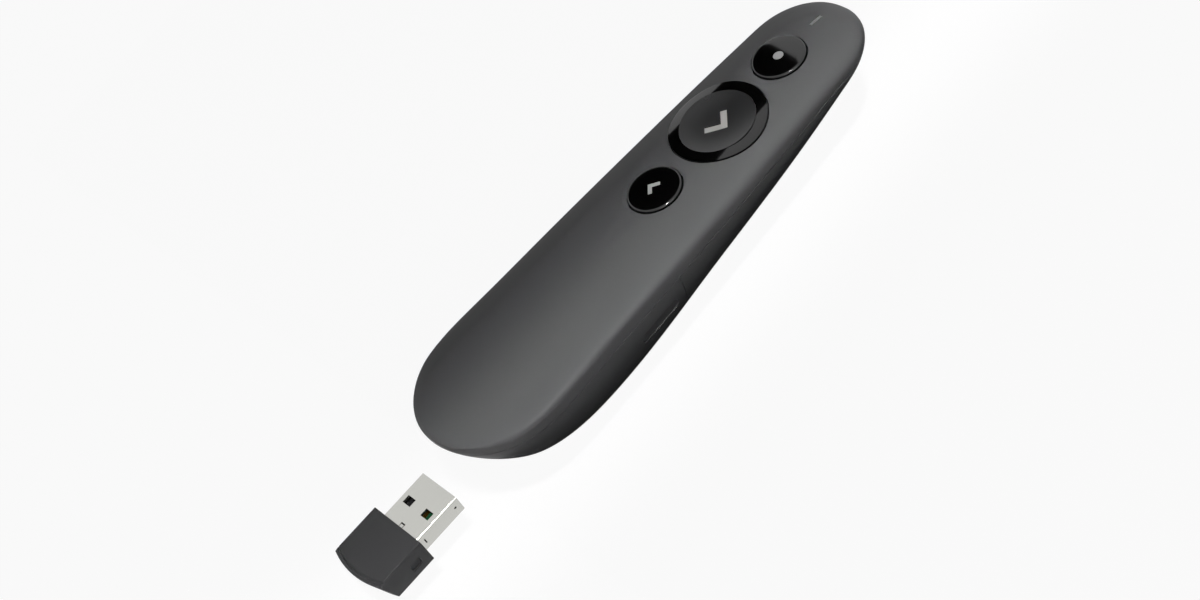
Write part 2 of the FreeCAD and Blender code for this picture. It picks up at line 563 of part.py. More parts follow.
def make_laser():
    z, near, far = LASER_Z, BARREL_NEAR, BARREL_FAR
    bore = rod(0, z, near + BARREL_SHOULDER, far, BARREL_BORE)
    barrel = rod(0, z, near, far, BARREL_RADIUS).cut([bore, rod(0, z, near, far, BEAM_RADIUS)])
    save("laser_barrel", barrel)
    save("laser_lens", rod(0, z, far - LENS_BACK, far - LENS_FRONT, LENS_RADIUS))
    flange = rod(0, z, near - DIODE_STEP, near, DIODE_FLANGE)
    save("laser_diode", fused(flange, rod(0, z, near - DIODE_LENGTH, near - DIODE_STEP, DIODE_RADIUS)))
    save("laser_window", rod(0, z, FAR_END - WINDOW_BACK, FAR_END - WINDOW_FRONT, WINDOW_RADIUS))


def tail_outline(z, front, tail_shift, half):
    """A D-shaped outline: straight front and sides, one arc across the tail."""
    side_end = front - SIDE_LENGTH + tail_shift
    middle = V(0, side_end - TAIL_BULGE, z)
    a, b = V(half, front, z), V(half, side_end, z)
    c, d = V(-half, side_end, z), V(-half, front, z)
    arc = Part.Arc(b, middle, c).toShape()
    return Part.Wire([Part.makeLine(a, b), arc, Part.makeLine(c, d), Part.makeLine(d, a)])


def plug_seat():
    half, tall = PLUG_WIDTH / 2 + SEAT_GAP, PLUG_HEIGHT / 2 + SEAT_GAP
    return box(-half, half, BODY_FRONT - SEAT_DEPTH, AWAY, PLUG_Z - tall, PLUG_Z + tall)


def make_receiver_housing():
    low = tail_outline(BODY_LOW, BODY_FRONT, TAIL_LEAN, BODY_HALF)
    edge = tail_outline(BODY_HIGH - RIDGE_DROP, BODY_FRONT, RIDGE_BACK, BODY_HALF)
    deck = tail_outline(BODY_HIGH, BODY_FRONT, RIDGE_INSIDE, BODY_HALF - DECK_INSET)
    shell = fused(Part.makeLoft([low, edge], True, True), Part.makeLoft([edge, deck], True, True))
    side, back = BODY_HALF - BODY_WALL, BODY_FRONT - SIDE_LENGTH + TAIL_WALL
    pocket = box(-side, side, back, AWAY, BODY_LOW + BODY_WALL, BODY_HIGH - BODY_WALL)
    snap_ys = (BODY_FRONT - SNAP_BACK, BODY_FRONT - SNAP_FRONT)
    windows = box(-AWAY, AWAY, *snap_ys, SNAP_BOTTOM, SNAP_TOP)
    save("receiver_housing", shell.cut([pocket, plug_seat(), windows]))


def make_receiver_carrier():
    """The moulded inner frame that holds the board and snaps into the housing's windows."""
    front = BODY_FRONT
    side = BODY_HALF - BODY_WALL - SEAT_GAP
    low, high = BODY_LOW + BODY_WALL + SEAT_GAP, BODY_HIGH - BODY_WALL - SEAT_GAP
    frame = box(-side, side, front - CARRIER_BACK, front, low, high)
    reach = BODY_HALF - SNAP_IN
    snap_ys = (front - SNAP_BACK + SNAP_PLAY, front - SNAP_FRONT - SNAP_PLAY)
    snaps = box(-reach, reach, *snap_ys, SNAP_BOTTOM + SNAP_PLAY, SNAP_TOP - SNAP_PLAY)
    half = BOARD_ROOM_HALF
    middle = box(-half, half, -AWAY, AWAY, -AWAY, AWAY)
    room = box(-half, half, front - BOARD_ROOM_BACK, AWAY, PLUG_Z - BOARD_DROP, high - CARRIER_SKIN)
    frame = fused(frame.cut([room, plug_seat()]), snaps.cut(middle))
    save("receiver_carrier", frame)


def make_plug():
    half, tall, skin = PLUG_WIDTH / 2, PLUG_HEIGHT / 2, PLUG_SKIN
    front, tip = BODY_FRONT, PLUG_TIP
    shell = box(-half, half, front - PLUG_ROOT, tip, PLUG_Z - tall, PLUG_Z + tall)
    long_edges = [e for e in shell.Edges if abs(e.tangentAt(0).y) > 0.9]
    shell = shell.makeFillet(PLUG_ROUND, long_edges)
    bottom, top = PLUG_Z - tall + skin, PLUG_Z + tall - skin
    cuts = [box(-half + skin, half - skin, -AWAY, AWAY, bottom, top)]
    window_ys = (tip - WINDOW_Y - WINDOW_HALF_Y, tip - WINDOW_Y + WINDOW_HALF_Y)
    for x in (-WINDOW_X, WINDOW_X):
        cuts.append(box(x - WINDOW_HALF_X, x + WINDOW_HALF_X, *window_ys, -AWAY, AWAY))
    save("receiver_plug_shell", shell.cut(cuts))

    side, tongue_top = half - skin - TONGUE_GAP, bottom + TONGUE_THICK
    tongue = box(-side, side, front - TONGUE_BACK, tip - TONGUE_SHORT, bottom, tongue_top)
    save("receiver_tongue", tongue)
    strips = []
    for x in STRIP_XS:
        ys = (front - STRIP_BACK, tip - STRIP_SHORT)
        strips.append(box(x - STRIP_HALF, x + STRIP_HALF, *ys, tongue_top, tongue_top + STRIP_THICK))
    save("receiver_contacts", Part.makeCompound(strips))


def make_receiver_board():
    side, top = STICK_BOARD_HALF, PLUG_Z + STICK_BOARD_TOP
    board_ys = (BODY_FRONT - STICK_BOARD_BACK, BODY_FRONT - SEAT_DEPTH - SEAT_GAP)
    save("receiver_circuit_board", box(-side, side, *board_ys, PLUG_Z - BOARD_DROP, top))
    for node, (x0, x1, back, front, height) in (
        ("receiver_chip", STICK_CHIP), ("receiver_crystal", STICK_CRYSTAL)
    ):
        save(node, box(x0, x1, BODY_FRONT - back, BODY_FRONT - front, top, top + height))


def main():
    os.makedirs("parts", exist_ok=True)
    outer = body()
    inner = body(WALL)
    below_seam = below_parting(SEAM)
    make_upper_housing(outer, inner, below_parting(0))
    make_lower_housing(outer, inner, below_seam)
    make_battery_door(outer, inner, below_seam)
    make_receiver_clip()
    make_buttons()
    make_next_button(outer)
    make_switches()
    make_chassis()
    make_cell()
    make_board()
    make_chips()
    make_light_pipe(outer)
    make_laser()
    make_receiver_housing()
    make_receiver_carrier()
    make_plug()
    make_receiver_board()


main()
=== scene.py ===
import bmesh
import bpy
import json
import math
import numpy as np
from mathutils import Matrix, Vector

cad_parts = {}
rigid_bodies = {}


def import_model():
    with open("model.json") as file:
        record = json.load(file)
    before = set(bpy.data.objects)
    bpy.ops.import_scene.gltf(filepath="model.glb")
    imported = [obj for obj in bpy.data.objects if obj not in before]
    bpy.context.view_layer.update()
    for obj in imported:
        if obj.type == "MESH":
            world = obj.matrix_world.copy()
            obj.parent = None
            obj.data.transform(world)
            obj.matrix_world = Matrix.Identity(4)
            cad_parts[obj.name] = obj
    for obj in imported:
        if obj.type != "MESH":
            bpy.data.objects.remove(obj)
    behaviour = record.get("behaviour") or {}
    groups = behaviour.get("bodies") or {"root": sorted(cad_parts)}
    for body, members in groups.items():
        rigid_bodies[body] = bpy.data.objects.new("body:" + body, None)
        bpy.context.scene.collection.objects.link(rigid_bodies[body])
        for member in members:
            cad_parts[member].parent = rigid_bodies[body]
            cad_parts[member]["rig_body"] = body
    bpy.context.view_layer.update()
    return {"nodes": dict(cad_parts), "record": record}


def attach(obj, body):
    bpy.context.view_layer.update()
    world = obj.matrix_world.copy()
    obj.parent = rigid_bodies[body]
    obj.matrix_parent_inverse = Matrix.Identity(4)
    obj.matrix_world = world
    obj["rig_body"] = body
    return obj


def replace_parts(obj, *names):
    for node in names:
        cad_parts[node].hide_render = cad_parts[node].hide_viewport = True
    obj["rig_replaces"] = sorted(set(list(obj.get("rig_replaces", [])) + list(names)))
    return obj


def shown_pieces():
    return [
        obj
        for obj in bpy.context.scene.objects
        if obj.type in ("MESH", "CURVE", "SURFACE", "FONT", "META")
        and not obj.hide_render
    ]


# Wireless presentation clicker with its plug-in receiver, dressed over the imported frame.
# Lengths in the tables are millimetres; MM turns them to metres.

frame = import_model()
MM = 0.001

# The camera looks down on the right side, rolled so that the laser end points up and right.
TARGET = Vector((1.014, 9.153, 16.0)) * MM
AZIMUTH, ELEVATION, ROLL = 70.449, 45.169, -33.201
DISTANCE, LENS, SENSOR = 422.078 * MM, 59.16, 36.0

# The egg-shaped body, by the same measures as its solids.
NEAR_END, FAR_END = -38.15, 95.55
NEAR_CAP, FAR_CAP = 19.1, 17.0
NEAR_HALF, MIDDLE_HALF, FAR_HALF = 18.4, 16.9, 14.3
NEAR_CAP_POWER, FAR_CAP_POWER, END_POWER = 1.96, 2.13, 2.6
TOP_POWER, BELLY_POWER = 2.66, 2.12
CROWN = 26.0
WIDEST_NEAR, WIDEST_FAR = 23.65, 20.62
BELLY = (16.85, -0.41, 3.08, 8.24, 19.32)
# The crown falls towards each end: from this y, over this length, by this much.
NEAR_FALL_FROM, NEAR_FALL_OVER, NEAR_FALL = 31, 60, 1.10
FAR_FALL_FROM, FAR_FALL_OVER, FAR_FALL = 51, 40, 0.84
TIP_MARGIN, SLOPE_STEP = 0.02, 0.01

# The next button: a dish, and a ring that stands proud of the body round it.
NEXT_Y, NEXT_DISH, DISH_DEPTH, DISH_TOP = 54.5, 8.93, 0.8, 26.1
RING_PROUD = 0.25

# The small buttons: place of each, its cap's radius, rim, crown and top, and the flange below.
BACK_Y, LASER_Y = 33.6, 75.2
SMALL_CAP, CAP_ROUND, CAP_CROWN = 6.30, 0.45, 0.16
CAP_TOPS = {BACK_Y: 26.35, LASER_Y: 26.04}
CAP_WALL, CAP_SKIN, STEM_RADIUS = 1, 1.6, 1.5
FLANGE_RADIUS, FLANGE_BOTTOM, FLANGE_TOP = 7.1, 22.2, 22.9

# The printed marks: how far one stands on its face and reaches into it, and each outline.
MARK_PROUD, MARK_SUNK = 0.02, 0.10
ARROW_TIP, ARROW_REACH, ARROW_WIDTH = -1.9, -2.0, 0.95
DOT_RADIUS, DOT_SIDES = 1.2, 48

# The receiver: its plug, and the moulded body behind it.
PLUG_TIP, PLUG_Z, PLUG_HALF, PLUG_TALL, PLUG_SKIN = -42.9, 10.55, 6.0, 2.25, 0.3
PLUG_CORNER, PLUG_TAIL = 0.5, 2.8
BODY_FRONT, SIDE_LENGTH, TAIL_BULGE = -54.9, 12.4, 1.45
# Loops of the moulded body from the floor up: height, lean of the tail, half width.
BODY_LEVELS = [
    (7.75, 1.80, 8.40), (13.50, 0.15, 8.40), (13.86, 0.85, 8.22), (13.62, 1.15, 8.16),
    (14.10, 1.50, 8.05),
]
BODY_EDGE, TAIL_STEPS = 0.28, 16
HOLLOW_HALF, HOLLOW_BACK, HOLLOW_LOW, HOLLOW_HIGH = 7.3, 10.1, 8.85, 13.0
SEAT_GAP, SEAT_BACK = 0.05, 3
NOTCH_BACK, NOTCH_FRONT, NOTCH_LOW, NOTCH_HIGH = 5.0, 2.2, 9.4, 11.4
# Openings in the plug: two windows, a stamped finger on top, and one with a dimple each side.
WINDOW_IN, WINDOW_OUT, WINDOW_BACK, WINDOW_FRONT = 1.92, 4.42, 7.4, 5.5
FINGER_Y = PLUG_TIP - 11.0
FINGER_HALF, FINGER_SLIT, FINGER_LENGTH, LEG_OUT, LEG_IN = 0.65, 0.16, 0.85, 0.60, 0.45
SIDE_SLOT_NEAR, SIDE_SLOT_FAR, SIDE_SLOT_DOWN, SIDE_SLOT_UP = 0.2, 0.5, 0.5, 0.8
DIMPLE_RADIUS, DIMPLE_BACK, DIMPLE_RISE = 0.3, 1.5, 0.3
# Strips seen through the windows.
BACKING_IN, BACKING_OUT, BACKING_BACK, BACKING_FRONT = 1.6, 4.8, 8, 5
BACKING_LOW, BACKING_HIGH = 10.62, 10.74


def linear(code):
    """An sRGB hex colour as the linear numbers that a shader takes."""
    parts = [int(code[i:i + 2], 16) / 255 for i in (1, 3, 5)]
    return [c / 12.92 if c <= 0.04045 else ((c + 0.055) / 1.055) ** 2.4 for c in parts] + [1.0]


def add(tree, kind, settings=None, links=None):
    """Adds a node; settings name properties or input sockets, links feed its inputs."""
    node = tree.nodes.new(kind)
    for key, value in (settings or {}).items():
        if isinstance(key, str) and key not in node.inputs:
            setattr(node, key, value)
        else:
            node.inputs[key].default_value = value
    for key, source in (links or {}).items():
        tree.links.new(source, node.inputs[key])
    return node


def per_mm(size):
    """A texture scale for a pattern whose real spacing is given in millimetres."""
    return 1 / (size * MM)


def blank(name):
    """A new material with an empty node tree."""
    material = bpy.data.materials.new(name)
    material.use_nodes = True
    material.node_tree.nodes.clear()
    return material, material.node_tree


CLOUD_SIZE, HAZE_SIZE = 9.0, 0.6


def plastic(name, colour, roughness, grain, depth, specular=0.5, mottle=0.06, coat=0.0, ior=1.5):
    """Moulded or painted plastic: fine grain in the bump, faint mottling in colour and gloss."""
    material, tree = blank(name)
    place = add(tree, "ShaderNodeTexCoord").outputs["Object"]
    cloud = add(
        tree, "ShaderNodeTexNoise", {"Scale": per_mm(CLOUD_SIZE), "Detail": 3.0}, {"Vector": place}
    )
    spark = add(
        tree, "ShaderNodeTexNoise", {"Scale": per_mm(grain), "Detail": 2.0}, {"Vector": place}
    )
    dark = [c * (1 - mottle) for c in linear(colour)[:3]] + [1.0]
    light = [min(c * (1 + mottle), 1) for c in linear(colour)[:3]] + [1.0]
    tint = add(
        tree, "ShaderNodeMix", {"data_type": "RGBA", 6: dark, 7: light}, {0: cloud.outputs["Fac"]}
    )
    gloss = add(
        tree, "ShaderNodeMapRange", {"To Min": roughness * 0.94, "To Max": roughness * 1.06},
        {"Value": cloud.outputs["Fac"]},
    )
    bump = add(
        tree, "ShaderNodeBump", {"Strength": 1.0, "Distance": depth * MM},
        {"Height": spark.outputs["Fac"]},
    )
    shader = add(
        tree, "ShaderNodeBsdfPrincipled",
        {"IOR": ior, "Specular IOR Level": specular, "Coat Weight": coat, "Coat Roughness": 0.03},
        {"Base Color": tint.outputs[2], "Roughness": gloss.outputs[0], "Normal": bump.outputs[0]},
    )
    add(tree, "ShaderNodeOutputMaterial", None, {"Surface": shader.outputs[0]})
    return material


def metal(name, colour, roughness, line, depth, along=(1, 1, 12)):
    """Plated or rolled metal: fine drawn lines across one direction in bump and gloss."""
    material, tree = blank(name)
    place = add(tree, "ShaderNodeTexCoord").outputs["Object"]
    turned = add(tree, "ShaderNodeMapping", {"Scale": along}, {"Vector": place})
    lines = add(
        tree, "ShaderNodeTexNoise", {"Scale": per_mm(line), "Detail": 2.0},
        {"Vector": turned.outputs[0]},
    )
    gloss = add(
        tree, "ShaderNodeMapRange", {"To Min": roughness * 0.8, "To Max": roughness * 1.25},
        {"Value": lines.outputs["Fac"]},
    )
    bump = add(
        tree, "ShaderNodeBump", {"Strength": 1.0, "Distance": depth * MM},
        {"Height": lines.outputs["Fac"]},
    )
    shader = add(
        tree, "ShaderNodeBsdfPrincipled", {"Base Color": linear(colour), "Metallic": 1.0},
        {"Roughness": gloss.outputs[0], "Normal": bump.outputs[0]},
    )
    add(tree, "ShaderNodeOutputMaterial", None, {"Surface": shader.outputs[0]})
    return material


def clear(name, colour, roughness):
    """Clear or frosted moulding that lets the light through."""
    material, tree = blank(name)
    place = add(tree, "ShaderNodeTexCoord").outputs["Object"]
    haze = add(
        tree, "ShaderNodeTexNoise", {"Scale": per_mm(HAZE_SIZE), "Detail": 2.0}, {"Vector": place}
    )
    gloss = add(
        tree, "ShaderNodeMapRange", {"To Min": roughness * 0.8, "To Max": roughness * 1.2},
        {"Value": haze.outputs["Fac"]},
    )
    shader = add(
        tree, "ShaderNodeBsdfPrincipled",
        {"Base Color": linear(colour), "Transmission Weight": 0.8, "IOR": 1.49},
        {"Roughness": gloss.outputs[0]},
    )
    add(tree, "ShaderNodeOutputMaterial", None, {"Surface": shader.outputs[0]})
    return material


# Finishes, by the record's slots. Grain spacing and depth are millimetres.
FINISH = {
    # ABS under matte grey paint: an even satin that grades slowly, with a very fine grain
    "body_plastic": plastic("painted_abs_matte", "#5a5a5b", 0.42, 0.35, 0.0020, 0.12, 0.03),
    # soft-touch elastomer: darker and duller than the shell beside it
    "dish_plastic": plastic("elastomer_soft_touch", "#1d1d1e", 0.28, 0.30, 0.0010, 0.5, 0.04),
    # polished ABS: near black, shows the lamps' edges sharply
    "gloss_black": plastic("polished_abs_black", "#050505", 0.07, 2.5, 0.0004, 0.5, 0.10, 0.2),
    # printed ink: flat pale grey with soft edges of gloss
    "mark_grey": plastic("pad_print_grey", "#a6a6a6", 0.50, 0.20, 0.0008, 0.4, 0.03),
    # frosted polycarbonate: milky light grey in the slit
    "lamp_window": clear("frosted_polycarbonate", "#e6e6e4", 0.45),
    # glass-filled nylon: dull dark grey with coarse flow marks
    "frame_plastic": plastic("glass_filled_nylon", "#2c2d2f", 0.60, 0.50, 0.006, 0.4, 0.10),
    # solder mask over woven laminate: deep green, slightly uneven
    "circuit_board": plastic("solder_mask_green", "#12472b", 0.35, 0.80, 0.006, 0.5, 0.12),
    # injection-moulded nylon of a tact switch: black and dry
    "switch_plastic": plastic("moulded_nylon_black", "#1a1a1c", 0.55, 0.25, 0.003, 0.4, 0.06),
    # acetal: waxy off-white
    "plunger_plastic": plastic("acetal_natural", "#d8d6cc", 0.38, 0.40, 0.002, 0.5, 0.04),
    # filled epoxy: charcoal, with a sanded bloom
    "chip_epoxy": plastic("moulded_epoxy_black", "#232426", 0.48, 0.18, 0.003, 0.4, 0.08),
    # fired ceramic: warm tan, slightly glazed and uneven
    "ceramic_part": plastic("fired_ceramic_tan", "#b49a72", 0.40, 0.30, 0.003, 0.5, 0.08),
    # rolled steel: plain grey with fine streaks along the sheet
    "steel": metal("rolled_steel", "#b4b6b8", 0.30, 0.35, 0.0015),
    # bright nickel over steel: soft mirror with faint draw marks along the plug
    "plug_steel": metal("nickel_plated_steel", "#c4c4bf", 0.20, 0.40, 0.0006, (1, 0.08, 1)),
    # shrink film on the cell: glossy, with slight ripples
    "jacket_film": plastic("shrink_film_green", "#2b6e3f", 0.22, 3.0, 0.010, 0.5, 0.08),
    # turned brass: yellow, with fine tool rings round it
    "brass": metal("turned_brass", "#c79a4b", 0.28, 0.20, 0.0012, (1, 8, 1)),
    # hard gold plate: warm bright stripes with faint drawn lines
    "gold_contact": metal("gold_plate", "#e0b45a", 0.22, 0.25, 0.0006, (1, 0.1, 1)),
    # moulded acrylic: water clear, near smooth
    "lens_glass": clear("moulded_acrylic", "#f4f4f4", 0.05),
    # spark-textured ABS of the receiver: even charcoal, a shade coarser than the paint
    "receiver_plastic": plastic("spark_textured_abs", "#2f2f30", 0.50, 0.30, 0.0045, 0.3, 0.03),
}


def rounded(share, power):
    """What is left of a half width, or half height, this share of the way along a cap."""
    return (1 - share ** power) ** (1 / power)


def body_level(x, y, z):
    """Below one inside the body, above one outside it: one superellipse over, one under."""
    y = np.clip(y, NEAR_END + TIP_MARGIN, FAR_END - TIP_MARGIN)
    near = np.clip((NEAR_END + NEAR_CAP - y) / NEAR_CAP, 0, 1)
    far = np.clip((y - FAR_END + FAR_CAP) / FAR_CAP, 0, 1)
    caps = rounded(near, NEAR_CAP_POWER) * rounded(far, FAR_CAP_POWER)
    ends = rounded(near, END_POWER) * rounded(far, END_POWER)
    start, stop = NEAR_END + NEAR_CAP, FAR_END - FAR_CAP
    t = (np.clip(y, start, stop) - (start + stop) / 2) / ((stop - start) / 2)
    bend = (FAR_HALF + NEAR_HALF) / 2 - MIDDLE_HALF
    width = (MIDDLE_HALF + (FAR_HALF - NEAR_HALF) / 2 * t + bend * t * t) * caps
    middle = WIDEST_NEAR + (WIDEST_FAR - WIDEST_NEAR) * (y - NEAR_END) / (FAR_END - NEAR_END)
    near_fall = np.clip((NEAR_FALL_FROM - y) / NEAR_FALL_OVER, 0, 2) ** 2
    far_fall = np.clip((y - FAR_FALL_FROM) / FAR_FALL_OVER, 0, 2) ** 2
    crown = CROWN - NEAR_FALL * near_fall - FAR_FALL * far_fall
    knots = np.linspace(NEAR_END, FAR_END, len(BELLY))
    belly = np.polyval(np.polyfit(knots, BELLY, len(BELLY) - 1), y)
    over = z > middle
    height = np.where(over, crown - middle, middle - belly) * ends
    power = np.where(over, TOP_POWER, BELLY_POWER)
    return (np.abs(x) / width) ** power + (np.abs(z - middle) / height) ** power


def body_normal(points, lift=0.0):
    """The body's own surface direction at each point, in millimetres."""
    step = SLOPE_STEP
    x, y, z = points[:, 0], points[:, 1], points[:, 2] - lift
    slopes = [
        body_level(x + step, y, z) - body_level(x - step, y, z),
        body_level(x, y + step, z) - body_level(x, y - step, z),
        body_level(x, y, z + step) - body_level(x, y, z - step),
    ]
    slope = np.stack(slopes, 1)
    return slope / np.maximum(np.linalg.norm(slope, axis=1, keepdims=True), 1e-9)


def dish_normal(points):
    """The direction of the dish, a shallow part of a ball, at each point."""
    radius = (NEXT_DISH ** 2 + DISH_DEPTH ** 2) / (2 * DISH_DEPTH)
    centre = np.array([0, NEXT_Y, DISH_TOP - DISH_DEPTH + radius])
    inward = centre - points
    return inward / np.linalg.norm(inward, axis=1, keepdims=True)


def true_normals(mesh, rule, within=12):
    """Gives each corner that lies on a curved face that face's own direction."""
    count = len(mesh.loops)
    places = np.empty(len(mesh.vertices) * 3)
    mesh.vertices.foreach_get("co", places)
    corner = np.empty(count, int)
    mesh.loops.foreach_get("vertex_index", corner)
    corners = np.empty(count * 3)
    mesh.corner_normals.foreach_get("vector", corners)
    corners = corners.reshape(-1, 3)
    flat = np.empty(len(mesh.polygons) * 3)
    mesh.polygons.foreach_get("normal", flat)
    sizes = np.empty(len(mesh.polygons), int)
    mesh.polygons.foreach_get("loop_total", sizes)
    faces = np.repeat(flat.reshape(-1, 3), sizes, axis=0)
    wanted = rule(places.reshape(-1, 3)[corner] / MM)
    on = (wanted * faces).sum(1) > math.cos(math.radians(within))
    corners[on] = wanted[on]
    mesh.normals_split_custom_set(corners)


def place_piece(name, work, slot, body, nodes=(), sharp=35):
    """Makes a finished piece out of a bmesh, in place, on its body and in its finish."""
    for edge in work.edges:
        edge.smooth = len(edge.link_faces) == 2 and edge.calc_face_angle(0) < math.radians(sharp)
    for face in work.faces:
        face.smooth = True
        face.material_index = 0
    mesh = bpy.data.meshes.new(name)
    work.to_mesh(mesh)
    work.free()
    piece = bpy.data.objects.new(name, mesh)
    bpy.context.scene.collection.objects.link(piece)
    mesh.materials.append(FINISH[slot])
    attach(piece, body)
    if nodes:
        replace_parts(piece, *nodes)
    return piece


def merged(node):
    """A bmesh of a solid with its loose triangles joined."""
    work = bmesh.new()
    work.from_mesh(frame["nodes"][node].data)
    bmesh.ops.remove_doubles(work, verts=work.verts, dist=1e-6)
    for layer in list(work.loops.layers.float_vector.values()):
        work.loops.layers.float_vector.remove(layer)
    return work


def dressed(node, slot, rule=None):
    """A solid as it is, joined and shaded smooth between its sharp edges."""
    body = frame["nodes"][node]["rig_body"]
    piece = place_piece(node + "_skin", merged(node), slot, body, [node])
    if rule:
        true_normals(piece.data, rule)
    return piece


def turned_profile(points, steps=96, x=0.0, y=0.0):
    """A closed ring or button turned about a vertical line; points are (radius, height)."""
    work = bmesh.new()
    verts = [work.verts.new(Vector((r, 0, z)) * MM) for r, z in points]
    edges = [work.edges.new(pair) for pair in zip(verts, verts[1:])]
    bmesh.ops.spin(
        work, geom=verts + edges, cent=(0, 0, 0), axis=(0, 0, 1),
        angle=math.tau, steps=steps, use_merge=True,
    )
    bmesh.ops.remove_doubles(work, verts=work.verts, dist=1e-7)
    bmesh.ops.recalc_face_normals(work, faces=work.faces)
    bmesh.ops.translate(work, verts=work.verts, vec=Vector((x, y, 0)) * MM)
    return work


def arc_points(centre_r, centre_z, radius, start, stop, count):
    """Points of a rounded corner in a turned profile; angles are degrees from outwards."""
    angles = [math.radians(start + (stop - start) * i / count) for i in range(count + 1)]
    return [(centre_r + radius * math.cos(a), centre_z + radius * math.sin(a)) for a in angles]


def small_button(name, y):
    """A polished cap: slightly crowned face, rounded rim, hollow under it, stem and flange."""
    top = CAP_TOPS[y]
    face = [(SMALL_CAP - CAP_ROUND) * i / 10 for i in range(10)]
    crown = [(r, top - CAP_CROWN * (r / SMALL_CAP) ** 2) for r in face]
    rim = arc_points(SMALL_CAP - CAP_ROUND, top - CAP_CROWN - CAP_ROUND, CAP_ROUND, 90, 0, 8)
    wall, ceiling = SMALL_CAP - CAP_WALL, top - CAP_SKIN
    below = [
        (SMALL_CAP, FLANGE_TOP), (FLANGE_RADIUS, FLANGE_TOP), (FLANGE_RADIUS, FLANGE_BOTTOM),
        (wall, FLANGE_BOTTOM), (wall, ceiling), (STEM_RADIUS, ceiling),
        (STEM_RADIUS, FLANGE_BOTTOM), (0, FLANGE_BOTTOM),
    ]
    work = turned_profile(crown + rim + below, y=y)
    return place_piece(name + "_polished", work, "gloss_black", name.split("_cap")[0], [name])


def chevron(y, tip, reach, thickness):
    """The six corners of a chevron that points along X."""
    back = thickness * math.sqrt(2) * math.copysign(1, reach)
    half = abs(back) / 2
    outer, inner, rise = tip - reach, tip - reach - back / 2, abs(reach)
    return [
        (tip, y), (outer, y + rise), (inner, y + rise - half),
        (tip - back, y), (inner, y - rise + half), (outer, y - rise),
    ]


def printed_mark(name, corners, surface, body, node):
    """A thin printed mark that follows the face under it: finely cut, then laid on its height."""
    work = bmesh.new()
    outline = [work.verts.new(Vector((x, y, 0)) * MM) for x, y in corners]
    flat = work.faces.new(outline)
    bmesh.ops.triangulate(work, faces=[flat])
    bmesh.ops.subdivide_edges(work, edges=work.edges, cuts=7, use_grid_fill=True)
    made = bmesh.ops.extrude_face_region(work, geom=work.faces)
    lifted = {v for v in made["geom"] if isinstance(v, bmesh.types.BMVert)}
    for vert in work.verts:
        height = surface(vert.co.x / MM, vert.co.y / MM)
        vert.co.z = (height + (MARK_PROUD if vert in lifted else -MARK_SUNK)) * MM
    bmesh.ops.recalc_face_normals(work, faces=work.faces)
    return place_piece(name, work, "mark_grey", body, [node])


def cap_height(y):
    """The height of a small button's crowned face, as a rule of x and y."""
    return lambda px, py: CAP_TOPS[y] - CAP_CROWN * (px * px + (py - y) ** 2) / SMALL_CAP ** 2


small_button("back_button_cap", BACK_Y)
small_button("laser_button_cap", LASER_Y)
printed_mark(
    "back_arrow", chevron(BACK_Y, ARROW_TIP, ARROW_REACH, ARROW_WIDTH), cap_height(BACK_Y),
    "back_button", "back_button_mark",
)
turns = [math.tau * i / DOT_SIDES for i in range(DOT_SIDES)]
dot = [(DOT_RADIUS * math.cos(a), LASER_Y + DOT_RADIUS * math.sin(a)) for a in turns]
printed_mark("laser_dot", dot, cap_height(LASER_Y), "laser_button", "laser_button_mark")


def block(x0, x1, y0, y1, z0, z1):
    """A bmesh box between two corners."""
    work = bmesh.new()
    bmesh.ops.create_cube(work, size=1)
    bmesh.ops.scale(work, verts=work.verts, vec=Vector((x1 - x0, y1 - y0, z1 - z0)) * MM)
    middle = Vector(((x0 + x1) / 2, (y0 + y1) / 2, (z0 + z1) / 2))
    bmesh.ops.translate(work, verts=work.verts, vec=middle * MM)
    return work


def carved(work, cutters):
    """Cuts the cutters out of a closed bmesh, with each cut edge left crisp."""
    mesh = bpy.data.meshes.new("blank")
    work.to_mesh(mesh)
    work.free()
    stock = bpy.data.objects.new("blank", mesh)
    bpy.context.scene.collection.objects.link(stock)
    tools = []
    for cutter in cutters:
        tool_mesh = bpy.data.meshes.new("cutter")
        cutter.to_mesh(tool_mesh)
        cutter.free()
        tool = bpy.data.objects.new("cutter", tool_mesh)
        bpy.context.scene.collection.objects.link(tool)
        tools.append(tool)
        cut = stock.modifiers.new("cut", "BOOLEAN")
        cut.object, cut.operation, cut.solver = tool, "DIFFERENCE", "EXACT"
    bpy.context.view_layer.update()
    evaluated = stock.evaluated_get(bpy.context.evaluated_depsgraph_get())
    result = bpy.data.meshes.new_from_object(evaluated)
    done = bmesh.new()
    done.from_mesh(result)
    for obj in tools + [stock]:
        bpy.data.objects.remove(obj)
    return done


def tail_outline(z, shift, half):
    """A D-shaped loop: straight front and sides, one arc across the tail."""
    side_end = BODY_FRONT - SIDE_LENGTH + shift
    radius = (half ** 2 + TAIL_BULGE ** 2) / (2 * TAIL_BULGE)
    reach = math.asin(half / radius)
    centre = side_end - TAIL_BULGE + radius
    arc = [reach * (1 - 2 * i / TAIL_STEPS) for i in range(TAIL_STEPS + 1)]
    curve = [(radius * math.sin(a), centre - radius * math.cos(a)) for a in arc]
    loop = [(half, BODY_FRONT)] + curve + [(-half, BODY_FRONT)]
    return [Vector((x, y, z)) * MM for x, y in loop]


